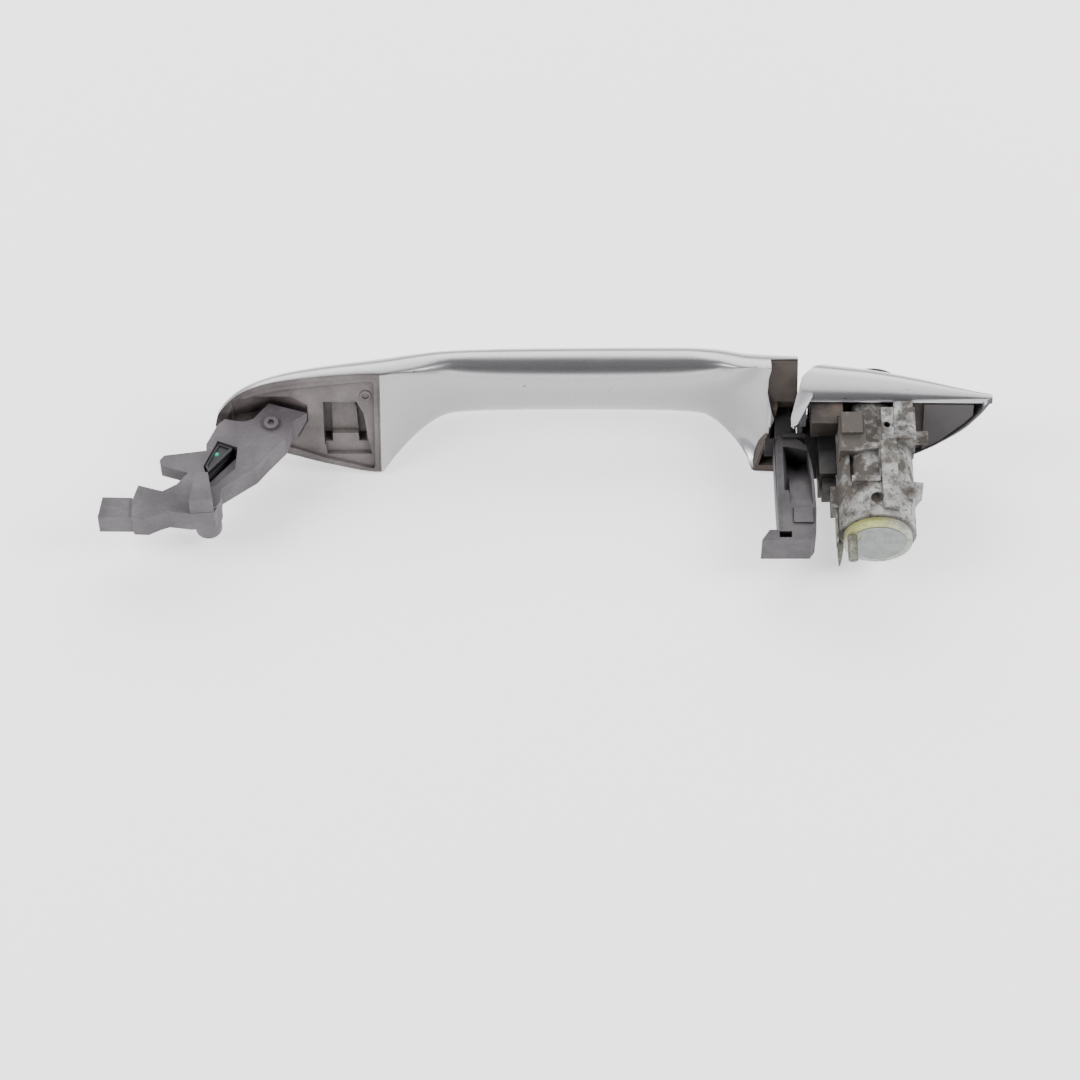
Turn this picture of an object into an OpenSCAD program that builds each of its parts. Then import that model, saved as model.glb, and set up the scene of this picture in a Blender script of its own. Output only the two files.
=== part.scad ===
// Pull-type car door handle with its lock cylinder and painted tail cap.
// X runs from the pivot arm to the lock, Y outward from the door and Z up along the lying handle.
// The origin is on the handle's pivot axis, at the middle of the arm's thickness.

/* [Bow] */
// Distance from the pivot axis to the bow's front tip
bow_front_x = 1.5; // [0.5:0.1:2.4]
// Distance from the pivot axis to the bow's rear end
bow_rear_x = 186.5; // [185.5:0.1:186.8]
// Height of the grip's section, along Z
grip_h = 25; // [22:0.5:30]
// Depth of the grip's section, along Y
grip_d = 14.8; // [13:0.1:18]
// Distance from the pivot axis out to the grip's middle
grip_y = 49; // [46:0.1:51]
// Distance from the pivot axis out to the seating rim of the feet
rim_y = 31; // [29:0.5:33]
// Slope of the seating rim, outward travel per unit of height
rim_slope = 0.463; // [0.40:0.001:0.50]

/* [Pivot arm] */
// Thickness of the arm's plate
arm_t = 9.2; // [8:0.1:10]
// Radius of the pivot trunnion
trunnion_r = 4.2; // [3.5:0.1:5]
// Distance from the arm's middle to a trunnion's end
trunnion_end = 11.9; // [10:0.1:14]

/* [Pull leg] */
// Thickness of the leg along Z
leg_t = 11; // [9:0.5:12]
// Height of the leg's middle above the pivot plane
leg_z = -2; // [-3:0.5:0]

/* [Tail cap] */
// Distance from the pivot axis to the cap's pointed end
cap_tip_x = 247.4; // [245.6:0.2:252]
// Height of the cap's straight upper rim
cap_top_z = 15; // [14:0.5:16]
// Wall thickness of the cap
cap_wall = 1.6; // [1.4:0.1:2]

/* [Lock] */
// Distance from the pivot axis to the cylinder's axis, along X
lock_x = 210; // [209:0.5:212]
// Height of the cylinder's axis
lock_z = 3; // [2:0.5:4]
// Radius of the zinc barrel
barrel_r = 12.2; // [11.5:0.1:12.6]
// Radius of the turning plug
plug_r = 7; // [6:0.1:7.2]
// Running clearance between the plug and its bore
plug_gap = 0.05; // [0.02:0.01:0.09]
// Number of wafers in the plug
wafer_count = 7; // [4:1:8]
// Distance between wafers
wafer_pitch = 3; // [2.6:0.1:3.2]
// Radius of the crank pin
crank_r = 1.6; // [1.2:0.05:1.7]
// Length of the crank pin beyond the drive cap
crank_l = 8.4; // [6:0.1:10]

/* [Hidden] */
$fn = 64;

paint = [0.62, 0.62, 0.65];
grey_plastic = [0.42, 0.41, 0.44];
brown_plastic = [0.40, 0.38, 0.37];
dark_plastic = [0.16, 0.15, 0.15];
black_plastic = [0.09, 0.09, 0.09];
zinc = [0.66, 0.67, 0.66];
yellow_zinc = [0.70, 0.69, 0.47];
steel = [0.60, 0.60, 0.58];
brass = [0.72, 0.60, 0.32];
rubber = [0.07, 0.07, 0.07];

eps = 0.05;             // sliding gap between pieces that are fitted together
ring_points = 28;       // points round a lofted section

// ---- curves ----

// Slope of a knot table [x, value] at knot i, taken from its neighbours
function knot_slope(t, i) =
    let(a = max(i - 1, 0), b = min(i + 1, len(t) - 1))
    (t[b][1] - t[a][1]) / (t[b][0] - t[a][0]);

// Number of the span of the knot table that holds x
function knot_span(t, x, i = 0) = i >= len(t) - 2 || x <= t[i + 1][0] ? i : knot_span(t, x, i + 1);

// Smooth curve through the knots of a table
function curve(t, x) =
    let(i = knot_span(t, x), h = t[i + 1][0] - t[i][0], s = min(max((x - t[i][0]) / h, 0), 1))
    (1 + 2 * s) * (1 - s) * (1 - s) * t[i][1] + s * (1 - s) * (1 - s) * h * knot_slope(t, i)
    + s * s * (3 - 2 * s) * t[i + 1][1] + s * s * (s - 1) * h * knot_slope(t, i + 1);

// A power that keeps the sign of its base
function signed_pow(v, p) = sign(v) * pow(abs(v), p);

// ---- lofted shells: the bow and the cap share one kind of section ----

// One point of a section at x. The outer half is a rounded dome from the widest level out to the
// crown, the inner half runs from the widest level in to a floor that may slope with height.
function section_point(x, a, top, bottom, crown, widest, floor_y, slope, dome_n, base_n) =
    let(n = sin(a) >= 0 ? dome_n : base_n,
        mid = (top - bottom) / 2,
        half = (top + bottom) / 2,
        z = mid + half * signed_pow(cos(a), 2 / n),
        f = pow(abs(sin(a)), 2 / n),
        y = sin(a) >= 0 ? widest + (crown - widest) * f : widest - (widest - floor_y - slope * z) * f)
    [x, y, z];

// Skin between rings of points, closed with a flat face at each end
module ring_loft(rings) {
    n = len(rings[0]);
    m = len(rings);
    points = [for (r = rings) each r];
    sides = [for (i = [0 : m - 2], j = [0 : n - 1])
        let(a = i * n + j, b = i * n + (j + 1) % n) each [[a, b, b + n], [a, b + n, a + n]]];
    polyhedron(points, concat([[for (j = [n - 1 : -1 : 0]) j]], sides,
                              [[for (j = [0 : n - 1]) (m - 1) * n + j]]));
}

// ---- the bow ----

front_fillet = [54.5, 77.5];     // where the grip's inner side bends into the front foot
rear_fillet = [160, 177.4];     // and into the rear foot
fillet_lean = 0.35;             // how far the rear bend leans along X per unit of height
lean_top = 3;                   // height above which it stands upright
grip_in = grip_y - grip_d / 2;
grip_out = grip_y + grip_d / 2;

// Height of the bow's upper and lower edges above and below the pivot plane
bow_top = [[bow_front_x, 0.3], [2.6, 5], [6, 8.8], [11.5, 11.8], [19, 14], [35, 16], [54, 16.8],
           [73, grip_h / 2 + 1.4], [90, grip_h / 2], [140, grip_h / 2], [158, 13.6], [172, 16],
           [bow_rear_x, 16.8]];
bow_bottom = [[bow_front_x, 0.3], [4, 3], [9, 6], [14, 7.8], [25, 10.8], [38, 14.4], [54, 17.2],
              [73, grip_h / 2 + 1.4], [90, grip_h / 2], [140, grip_h / 2], [158, 13.8], [171, 16.6],
              [bow_rear_x, 17.4]];
// Crown of the outer side, and the level at which the section is widest
bow_crown = [[bow_front_x, 32.2], [4, 35.8], [9, 39.6], [20, 43.6], [30, 45.9], [42, 48], [54, 50.1],
             [62, 51.9], [73, 54.2], [90, 55.8], [115, grip_out], [145, grip_out], [160, 55.6],
             [171, 53.2], [bow_rear_x, 51.5]];
bow_widest = [[bow_front_x, 31.3], [9, 35.4], [20, 38], [35, 39.6], [54, 41.2], [73, 47.2], [90, grip_y],
              [148, grip_y], [160, 47], [171, 42.6], [bow_rear_x, 41.5]];

// 0 in the grip, rising to 1 where the inner side has reached a foot's rim
function foot_share(x, z) =
    x < 100 ? min(max((front_fillet[1] - x) / (front_fillet[1] - front_fillet[0]), 0), 1)
            : min(max((x - fillet_lean * min(z, lean_top) - rear_fillet[0])
                      / (rear_fillet[1] - rear_fillet[0]), 0), 1);

// How far the inner side has dropped from the grip to the rim, as a share: a near-straight ramp in
// front and a round arc at the rear
function foot_drop(x, t) = x < 100 ? t * t : 1 - sqrt(1 - t * t);

function bow_ring(x) =
    [for (j = [0 : ring_points - 1])
        let(a = 360 * j / ring_points, t = foot_share(x, curve(bow_top, x) * cos(a)))
        section_point(x, a, curve(bow_top, x), curve(bow_bottom, x), curve(bow_crown, x),
                      curve(bow_widest, x), grip_in - (grip_in - rim_y) * foot_drop(x, t),
                      rim_slope * t * t, 2.5, 2.4 + 11.6 * t * t)];

bow_stations = concat(
    [for (i = [0 : 8]) bow_front_x + 14 * (1 - cos(90 * i / 8))],
    [for (x = [20 : 5 : 50]) x],
    [for (i = [9 : -1 : 0]) front_fillet[1] - (front_fillet[1] - front_fillet[0]) * sin(10 * i)],
    [for (x = [88 : 9 : 142]) x],
    [for (x = [150 : 2 : 180]) x],
    [for (i = [0 : 2]) 182 + (bow_rear_x - 182) * i / 2]);

// Plan of the front hollow, a thin wall in from the outline, and its roof seen along Z
front_plan = [[3.2, 1.4], [4.6, 5.4], [7.5, 8.5], [12.5, 10.8], [21, 13.1], [35, 14.7], [50, 15.6],
              [53, 15.3], [53.6, 14.5], [53.6, -15.2], [53, -15.9], [38, -13], [25, -9.4], [14, -6.5],
              [9, -4.7], [5, -2], [3.4, -0.4]];
front_roof = [[2, 10], [2, 32.4], [7, 35], [12, 37], [20, 39.4], [30, 41.4], [44, 43], [55, 44], [55, 10]];
// Plan of the rear hollow, which is open at the bow's end and above, and its roof
rear_plan = [[172.9, -15.8], [179.1, 2], [176.9, 8.5], [177.2, 13], [178.6, 20], [188, 20], [188, -15.8]];
rear_roof = [[171, 10], [171, 45.5], [188, 45.5], [188, 10]];

// A plan drawn in X and Z, stood along Y
module plan_block(plan, y0, y1) {
    translate([0, y1, 0]) rotate([90, 0, 0]) linear_extrude(y1 - y0) polygon(plan);
}

// A profile drawn in X and Y, stood along Z
module side_block(profile, z0, z1) {
    translate([0, 0, z0]) linear_extrude(z1 - z0) polygon(profile);
}

// Everything inward of the seating rim, set back outward by a distance
module inside_of_rim(back) {
    translate([0, rim_y + back, 0]) rotate([-atan(rim_slope), 0, 0])
        translate([-10, -80, -60]) cube([280, 80, 120]);
}

// The space of a hollow, where its plan and its roof profile cross
module hollow_fill(plan, roof) {
    intersection() {
        plan_block(plan, 12, 60);
        side_block(roof, -30, 30);
    }
}

module handle_bow() {
    color(paint) difference() {
        ring_loft([for (x = bow_stations) bow_ring(x)]);
        hollow_fill(front_plan, front_roof);
        hollow_fill(rear_plan, rear_roof);
        // the rim gives way to the arm
        side_block(arm_slot, -arm_t / 2 - eps, arm_t / 2 + eps);
    }
}

// A plan or roof outline pulled in towards its middle by the sliding gap
function pulled_in(outline, middle, gap) =
    [for (p = outline) let(d = p - middle) p - d / norm(d) * gap];

// ---- the front foot's core and the arm ----

arm_profile = [[-33.6, -6.3], [-23.1, -6.4], [-22.6, -7.4], [-18.1, -7.6], [-14.6, -5.8], [-11.6, -4.7],
               [-4.8, -5.6], [2.9, -5], [4.6, -1], [4.6, 4], [15.4, 12], [18.3, 16], [24, 23], [26.4, 29.4],
               [30.6, 32.7], [18.4, 36.4], [13.75, 30.4], [11, 29.4], [8.4, 29.6], [4.7, 30.4], [2.5, 28],
               [-0.75, 20.7], [-0.6, 18.3], [-13.8, 16.4], [-15.2, 14.6], [-14.7, 12.6], [-6, 9.8],
               [-9.4, 5.5], [-13.75, 2.9], [-21.4, 5.1], [-23, -0.5], [-23.1, 1], [-32.5, 1.2]];
arm_pocket = [[-1.3, 12.4], [2.8, 22], [9.2, 19.5], [8.8, 11.3], [1.4, 3.6]];
post_top = [[-3, 5.2], [0.9, 5.2], [2.8, -4.9], [-4.6, -5.5]];
pocket_depth = 3;
screw_at = [19.5, 28.4];
screw_r = 1.5;
screw_head_r = 2.3;
screw_tip_z = -6.8;
lip_w = 1.9;            // width of the core's raised lip
lip_h = 1.3;            // height of the lip, from the seating rim down to the core's face
// Outline of the slot that holds the arm's root, a little larger than the arm
arm_slot = [[-3, 10], [-3, 30.9], [13.5, 30.9], [18.3, 36.7], [31.2, 32.8], [26.6, 29.2], [24.3, 22.9],
            [24.3, 10]];

module front_foot() {
    color(brown_plastic) difference() {
        union() {
            difference() {
                hollow_fill(pulled_in(front_plan, [32, 0], eps), pulled_in(front_roof, [32, 20], eps));
                inside_of_rim(0.3);
                // face inside the raised lip
                intersection() {
                    plan_block(pulled_in(front_plan, [30, 0], lip_w), 10, 44);
                    inside_of_rim(lip_h);
                }
            }
            // boss under the arm that takes the screw
            translate([screw_at[0], screw_at[1], screw_tip_z - 0.3]) cylinder(r = 3, h = 6);
        }
        // slot of the arm's root
        side_block(arm_slot, -arm_t / 2 - eps, arm_t / 2 + eps);
        // wide step above the arm's root
        side_block([[7, 10], [7, 34.9], [12, 36.2], [19, 38], [30.8, 35], [30.8, 10]], 0, 8.6);
        // core-out pocket, its floor set back from the rim
        intersection() {
            plan_block([[35.8, -4.8], [35.8, 6.8], [46.4, 6.8], [48.6, 3], [49.8, -4.8]], 10, 44);
            inside_of_rim(4.6);
        }
        // sloping ledge at the pocket's lower side
        intersection() {
            plan_block([[36.8, -10.6], [35.8, -4.7], [49.8, -4.7], [51, -10.6]], 10, 44);
            inside_of_rim(2.7);
        }
        // deep slots along the pocket's two sides
        intersection() {
            union() {
                plan_block([[36, -7.4], [36, 6.6], [38.3, 6.6], [38.6, -7.4]], 10, 44);
                plan_block([[47, -7.4], [46.2, 2.4], [44.9, 5.8], [46.6, 6.4], [48.3, 2.8], [49.7, -7.4]],
                           10, 44);
            }
            inside_of_rim(6.4);
        }
        // hole of the arm screw
        translate([screw_at[0], screw_at[1], screw_tip_z]) cylinder(r = screw_r + eps, h = 9);
    }
    // round ejector mark
    color(brown_plastic) translate([49.3, rim_y + lip_h + 9 * rim_slope, 9])
        rotate([90 - atan(rim_slope), 0, 0])
        difference() {
            translate([0, 0, -0.6]) cylinder(r = 1.7, h = 1);
            cylinder(r = 1.2, h = 1);
        }
}

module pivot_arm() {
    color(grey_plastic) {
        difference() {
            union() {
                side_block(arm_profile, -arm_t / 2, arm_t / 2);
                cylinder(r = 4.8, h = arm_t + 1.6, center = true);
            }
            // the tip block's upper face lies a step lower
            translate([-40, -10, arm_t / 2 - 0.9]) cube([17, 14, 4]);
            // relief under the prong
            side_block([[-16, 12], [-6.4, 10.2], [-9, 15.4], [-16, 15.4]], -arm_t, -1.2);
            // pocket with the dark insert
            side_block(arm_pocket, arm_t / 2 - pocket_depth, arm_t);
            // long slot along the pocket
            translate([4.2, 13.5, arm_t / 2 - 6]) rotate([0, 0, 50])
                translate([-6.6, -0.9, 0]) cube([13.2, 1.8, 8]);
            // clearance hole of the screw
            translate([screw_at[0], screw_at[1], -arm_t]) cylinder(r = screw_r + eps, h = 2 * arm_t);
        }
        // round trunnion below, wedge-shaped post above
        translate([0, 0, -trunnion_end]) cylinder(r = trunnion_r, h = trunnion_end);
        side_block(post_top, arm_t / 2 - pocket_depth, trunnion_end);
    }
}

module arm_insert() {
    color(dark_plastic) difference() {
        side_block([[-0.85, 12.9], [2.95, 21.7], [7.6, 19.9], [7.3, 19], [0.3, 10.6]],
                   arm_t / 2 - pocket_depth, arm_t / 2 - 0.7);
        // shallow recess inside its border
        side_block([[-0.1, 13], [3.3, 20.8], [6.6, 19.5], [0.4, 12]], arm_t / 2 - 1.2, arm_t);
    }
}

module arm_screw() {
    color(steel) difference() {
        union() {
            translate([screw_at[0], screw_at[1], screw_tip_z + eps])
                cylinder(r = screw_r, h = arm_t / 2 - screw_tip_z);
            translate([screw_at[0], screw_at[1], arm_t / 2 + eps]) cylinder(r = screw_head_r, h = 1.1);
        }
        // six-sided recess
        translate([screw_at[0], screw_at[1], arm_t / 2 + 0.4]) cylinder(r = 1.15, h = 2, $fn = 6);
    }
}

// ---- the rear foot's core and the pull leg ----

leg_lo = leg_z - leg_t / 2;
leg_hi = leg_z + leg_t / 2;
leg_root = [[179.4, 22], [179.4, 40], [184.4, 40], [184.4, 22]];
leg_profile = [[173.9, -14.6], [176.4, -10.8], [179.4, -10.8], [179, 4], [178.8, 23.4],
               [184.4, 24], [186.8, 23], [188.8, 20.9], [190.4, 14], [191.1, 6], [191.3, -3], [190.9, -12.2],
               [189.3, -14.6]];

module rear_foot() {
    color(dark_plastic) {
        difference() {
            intersection() {
                hollow_fill(pulled_in(rear_plan, [181, 0], eps), pulled_in(rear_roof, [178, 20], eps));
                translate([170, 0, -20]) cube([bow_rear_x - 170, 60, 35.4]);
            }
            inside_of_rim(0.8);
            // ramp of the tongue, from the outer upper edge in to the hollow
            translate([170, 0, 0]) rotate([90, 0, 90]) linear_extrude(20)
                polygon([[10, 16], [45, 16], [44.2, 14.4], [36.4, 5.2], [10, 5.2]]);
            // hollow under the tongue, round the leg's root
            plan_block([[177.8, -5.2], [180.2, 5.4], [190, 5.4], [190, -5.2]], 10, 37);
            // lower hollow beside the leg
            plan_block([[174.6, -14], [176.4, -8], [181, -8], [181, -14]], 10, 35);
            // slot of the leg's root
            side_block([[179.4 - eps, 20], [179.4 - eps, 40 + eps], [190, 40 + eps], [190, 20]],
                       leg_lo + 2 - eps, leg_hi - 2 + eps);
            translate([181.9, 50, leg_z]) rotate([90, 0, 0]) cylinder(r = 1.3 + eps, h = 12);
        }
        // thin flange across the foot, above the lower hollow
        plan_block([[176.6, -7], [176.6, -5.7], [bow_rear_x - 0.1, -5.7], [bow_rear_x - 0.1, -7]], 25.4, 36);
    }
}

module pull_leg() {
    color(grey_plastic) difference() {
        union() {
            side_block(leg_profile, leg_lo, leg_hi);
            side_block(leg_root, leg_lo + 2, leg_hi - 2);
            // thin flange where the leg meets the rear foot
            plan_block([[176, -6.6], [176, 4.2], [188.8, 4.2], [188.8, -6.6]], 23.7, 25.2);
        }
        // pocket beside the column, its floor rising towards the toe
        intersection() {
            side_block([[182.4, 20.6], [189.2, 19], [190.1, 8], [190.2, -1], [183, -1]],
                       leg_lo + 1, leg_hi + 1);
            translate([180, 0, 0]) rotate([90, 0, 90])
                linear_extrude(14)
                    polygon([[-1.5, leg_hi], [8, leg_hi - 2.5], [21, leg_hi - 8.4], [21, leg_hi + 2],
                             [-1.5, leg_hi + 2]]);
        }
        // sloping side of the pocket next to the column
        plan_block([[181.4, leg_hi + 0.1], [182.5, leg_hi - 4], [183.2, leg_hi - 4], [183.2, leg_hi + 0.1]],
                   4, 20.4);
        // rounded left edge of the column
        difference() {
            plan_block([[174, leg_hi - 2.2], [174, leg_hi + 1], [181.4, leg_hi + 1], [181.4, leg_hi - 2.2]],
                       -10.6, 30);
            translate([181.4, 40, leg_hi - 2.2]) rotate([90, 0, 0]) cylinder(r = 2.2, h = 60);
        }
        // notch above the toe
        side_block([[179.4, -11.4], [183.3, -11.4], [183.3, -13.6], [179.4, -13.6]],
                   leg_hi - 3.5, leg_hi + 1);
        // seat of the bumper
        side_block([[184, -2.6], [190.2, -2.6], [190.2, -8.4], [184, -8.4]], leg_hi - 1, leg_hi + 1);
        translate([181.9, 41, leg_z]) rotate([90, 0, 0]) cylinder(r = 1.1, h = 14);
    }
}

module leg_bumper() {
    color(grey_plastic)
        side_block([[184.1, -2.7], [190.1, -2.7], [190.1, -8.3], [184.1, -8.3]], leg_hi - 1, leg_hi + 0.6);
}

module leg_screw() {
    color(steel) translate([181.9, 42.6, leg_z]) rotate([90, 0, 0]) {
        cylinder(r = 1.05, h = 14);
        cylinder(r = 1.25, h = 2.4);
    }
}

// ---- the tail cap ----

cap_rim_slope = 0.4;                                    // slope of the cap's rim
cap_rim_0 = rim_y - cap_rim_slope * cap_top_z;          // rim level at the pivot plane
cap_bottom = [[187, 17.2], [194, 15.8], [205, 13], [215, 10.2], [225, 5.8], [231, 2.4], [239, -3.4],
              [244, -9], [cap_tip_x - 1, -12.6], [cap_tip_x, -cap_top_z + 0.6]];
cap_crown = [[187, 50.4], [193, 49.2], [202, 47.6], [211, 45.8], [225, 41.8], [236, 37.6], [cap_tip_x, 33]];
cap_widest = [[187, 40.6], [200, 39.4], [211, 38.2], [225, 35.6], [236, 33.6], [cap_tip_x, 31.6]];
// Profile of the end beside the bow, which leans away from it outward, and of the hollow's end wall
cap_end = [[180, 0], [187.2, 0], [187.2, 38], [188.2, 40.3], [191.2, 43.6], [195.4, 46.6], [199.5, 49.5],
           [199.5, 60], [180, 60]];
// Lobe of the upper wall that covers the bow's rear foot from the side
cap_lobe = [[187.6, 39.6], [183.6, 24], [183.6, 21.4], [184.4, 20.4], [185.5, 21.2], [190.6, 31.9],
            [191.4, 39.6]];

function cap_ring(x, inset, roof) =
    [for (j = [0 : ring_points - 1])
        section_point(x, 360 * j / ring_points, cap_top_z - inset,
                      max(curve(cap_bottom, x) - inset, inset + 2 - cap_top_z),
                      curve(cap_crown, x) - roof, curve(cap_widest, x) - roof / 2,
                      cap_rim_0 - (inset > 0 ? 6 : 0), cap_rim_slope, 2.6, 9)];

cap_stations = concat([for (x = [187 : 4 : 235]) x],
                      [for (i = [0 : 6]) 236 + (cap_tip_x - 236) * sin(15 * i)]);
hollow_stations = [for (i = [0 : 12]) 188 + 4.7 * i];
face_y = 45.2;          // level of the lock's face

module along_y(y0, y1) {
    translate([lock_x, y0, lock_z]) rotate([-90, 0, 0]) linear_extrude(y1 - y0) children();
}

module cap_cover() {
    color(paint) {
        difference() {
            ring_loft([for (x = cap_stations) cap_ring(x, 0, 0)]);
            side_block(cap_end, -30, 30);
            // hollow, its end wall leaning the same way
            difference() {
                ring_loft([for (x = hollow_stations) cap_ring(x, cap_wall, cap_wall + 0.2)]);
                translate([cap_wall, 0, 0]) side_block(cap_end, -32, 32);
            }
            // gap in the end wall that the pull leg swings through
            translate([180, 0, -11]) cube([13.4, 43, 11 + leg_hi + 0.9]);
            // keyhole
            along_y(30, 60) circle(r = 9);
        }
        side_block(cap_lobe, cap_top_z - cap_wall, cap_top_z - 0.1);
    }
}

// Plan of the carrier plate inside the cap, clear of the leg's path
carrier_plan = [[190.2, 12.7], [190.2, 5], [193.8, 5], [193.8, -13.4], [198, -12.7], [205, -11], [215, -8.2],
                [225, -3.8], [231, -0.6], [236, 3.5], [239, 6], [241.6, 8.8], [241.6, 12.3]];

// Slab that follows the cap's rim, between two distances out from it
module rim_slab(x0, x1, near, far) {
    translate([x0, cap_rim_0, 0]) rotate([-atan(cap_rim_slope), 0, 0])
        translate([0, near, -40]) cube([x1 - x0, far - near, 80]);
}

module cap_carrier() {
    color(dark_plastic) difference() {
        intersection() {
            plan_block(carrier_plan, 12, 44);
            union() {
                rim_slab(190, 222, 4, 7);
                rim_slab(222.6, 233.5, 1.5, 4.5);
                rim_slab(226, 246, 0.4, 1.7);
                rim_slab(220, 224, 1.5, 7);
                // thick end beside the leg
                translate([190, 23.2, -20]) cube([10.2, 12, 40]);
            }
        }
        along_y(0, 60) circle(r = 9.2);
        along_y(0, 25.3) circle(r = barrel_r + 0.2);
        // room of the housing's two blocks
        translate([198.4, 10, lock_z - 1]) cube([30, 16, 30]);
        translate([211.6, 10, lock_z - 1]) cube([11.6, 20.4, 30]);
    }
}

module carrier_clip() {
    color(black_plastic) difference() {
        union() {
            plan_block([[192.6, -8.5], [192.6, 5.4], [198.4, 5.4], [198.4, -8.5]], 9, 23);
            plan_block([[193.4, -4], [193.4, 3], [198.4, 3], [198.4, -4]], 4.4, 10);
        }
        plan_block([[194.4, -6], [194.4, 1.6], [199, 1.6], [199, -6]], 11.5, 20.5);
        along_y(-5, 40) circle(r = barrel_r + 0.2);
    }
}

// ---- the lock ----

barrel_y = [-12.7, 25];         // inner and outer end of the barrel
neck_y = 42;                    // outer end of the housing's neck
wafer_y = 8;                    // level of the first wafer
spring_y = [-12.4, -9];         // room of the return spring
crank_at = [201.8, lock_z + 3.5];       // X and Z of the crank pin
crank_root_r = 1.1;             // radius of the pin's root inside the drive cap

// A box on the barrel's upper side, given in X and Y, from the axis up to a height above it
module on_barrel(x0, x1, y0, y1, h) {
    translate([x0, y0, lock_z]) cube([x1 - x0, y1 - y0, h]);
}

module lock_housing() {
    color(zinc) difference() {
        union() {
            along_y(barrel_y[0], barrel_y[1]) circle(r = barrel_r);
            along_y(barrel_y[1], neck_y) circle(r = 8.9);
            // longitudinal rib
            on_barrel(211.2, 216.2, -10.6, 15.2, barrel_r + 1);
            // left block and right block under the cap
            on_barrel(198.6, 206.8, 12, 25, 10.8);
            on_barrel(199.4, 206, 18, 25.8, 12.2);
            on_barrel(212, 222.6, 16, 28, 11.6);
            on_barrel(216, 222, 16, 30, 11.9);
            // stub lug beside the right block
            translate([221, 19.4, lock_z + 7]) rotate([0, 90, 0]) cylinder(r = 2.1, h = 5.6);
            // left tab and right triangular lug
            on_barrel(201.8, 210.6, -0.6, 1.4, barrel_r + 0.6);
            side_block([[216, 2.6], [224.4, 1.8], [224.4, 0.6], [221, -4.2], [216, -4.2]], lock_z, lock_z + 8);
            // lug at the left
            translate([195.8, -3.8, lock_z - 3.6]) cube([5, 8, 6]);
        }
        // bore of the plug, and its wafer grooves
        along_y(-20, 60) circle(r = plug_r + plug_gap);
        // room for the return spring
        along_y(barrel_y[0] - 1, spring_y[1]) difference() {
            circle(r = 10.6);
            circle(r = 8.4);
        }
        // recessed window between the block and the tab
        on_barrel(201.6, 210.6, 1.4, 12, 20);
        // gap between the two blocks
        translate([206.8, 14.4, lock_z + 9.4]) cube([5.2, 20, 8]);
        // half-round recess beside the rib
        translate([209.4, -6.4, lock_z + barrel_r - 1.4]) cylinder(r = 2, h = 4);
        // hole of the securing screw in the right block
        translate([213.6, 21.4, lock_z + 9]) cylinder(r = 1.1, h = 8);
    }
    // floor of the window
    color(zinc) difference() {
        intersection() {
            along_y(1.4, 12) circle(r = barrel_r - 1.6);
            on_barrel(201.6, 210.6, 1.4, 12, 20);
        }
        along_y(-20, 60) circle(r = plug_r + plug_gap);
    }
}

module spring_blade() {
    color(steel) {
        // tab along the barrel's side, then the flat pointed blade
        side_block([[197.1, -3.85], [197.7, -3.85], [197.7, -16], [197.1, -16]], lock_z - 2, lock_z + 2);
        side_block([[197.1, -13.4], [197.7, -13.4], [199.2, -16], [199.2, -17.5], [198.7, -20.5], [197.9, -23.8],
                    [197.4, -23.8], [197.2, -20.5]], lock_z - 0.4, lock_z + 0.4);
    }
}

module front_seal() {
    color(rubber) along_y(neck_y + eps, face_y - 0.3) difference() {
        circle(r = 8.9);
        circle(r = 8);
    }
}

// Wire bent into a helix round the lock's axis
function wire_ring(r, wire, a, y, sides) =
    [for (k = [0 : sides - 1])
        let(q = r + wire * cos(360 * k / sides))
        [lock_x + q * cos(a), y + wire * sin(360 * k / sides), lock_z + q * sin(a)]];

module return_spring() {
    turns = 2.6;
    steps = 62;
    wire = 0.45;
    color(steel) ring_loft([for (i = [0 : steps])
        wire_ring(9.5, wire, 360 * turns * i / steps,
                  spring_y[0] + wire + (spring_y[1] - spring_y[0] - 2.4 * wire) * i / steps, 8)]);
}

// ---- the turning plug ----

head_y = neck_y + eps;          // back of the plug's head
keyway = [2.5, 8.4];            // width and height of the keyway

module lock_plug() {
    color(brass) difference() {
        union() {
            along_y(-12.65, head_y + 1) circle(r = plug_r);
            along_y(head_y, face_y - 0.8) circle(r = 7.9);
            along_y(-15, -12) circle(r = 4);
        }
        // keyway, and the wider room of the shutter's hinge
        along_y(5, 60) square(keyway, center = true);
        along_y(face_y - 6.4, 60) translate([0, -keyway[1] / 2]) square([4.6, 2.6], center = true);
        // a slot for each wafer and its spring
        for (i = [0 : wafer_count - 1])
            along_y(wafer_y + i * wafer_pitch - 0.55, wafer_y + i * wafer_pitch + 0.55)
                translate([-3.8, -8]) square([9.3, 16]);
        // hole of the shutter's pin
        translate([lock_x - shutter_pin_l / 2 - eps, shutter_at[0], shutter_at[1]]) rotate([0, 90, 0])
            cylinder(r = 0.43, h = shutter_pin_l + 2 * eps);
        // groove of the retaining ring
        along_y(-14.4, -13.9) difference() {
            circle(r = 5);
            circle(r = 3.4);
        }
    }
}

module wafers() {
    for (i = [0 : wafer_count - 1])
        color(brass) along_y(wafer_y + i * wafer_pitch - 0.48, wafer_y + i * wafer_pitch + 0.48) difference() {
            intersection() {
                translate([-3.7, -6]) square([7.4, 12]);
                circle(r = plug_r - 0.1);
            }
            translate([0, i % 2 == 0 ? 0.3 : -0.3]) square([2.7, 7.4], center = true);
        }
}

module wafer_springs() {
    for (i = [0 : wafer_count - 1])
        color(steel) translate([lock_x + 4.6, wafer_y + i * wafer_pitch, lock_z - 2.4])
            cylinder(r = 0.45, h = 4.8);
}

module plug_face() {
    color(steel) along_y(face_y - 0.8 + 0.01, face_y) difference() {
        circle(r = 7.9);
        square([keyway[0] + 0.1, keyway[1] + 0.1], center = true);
    }
}

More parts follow.
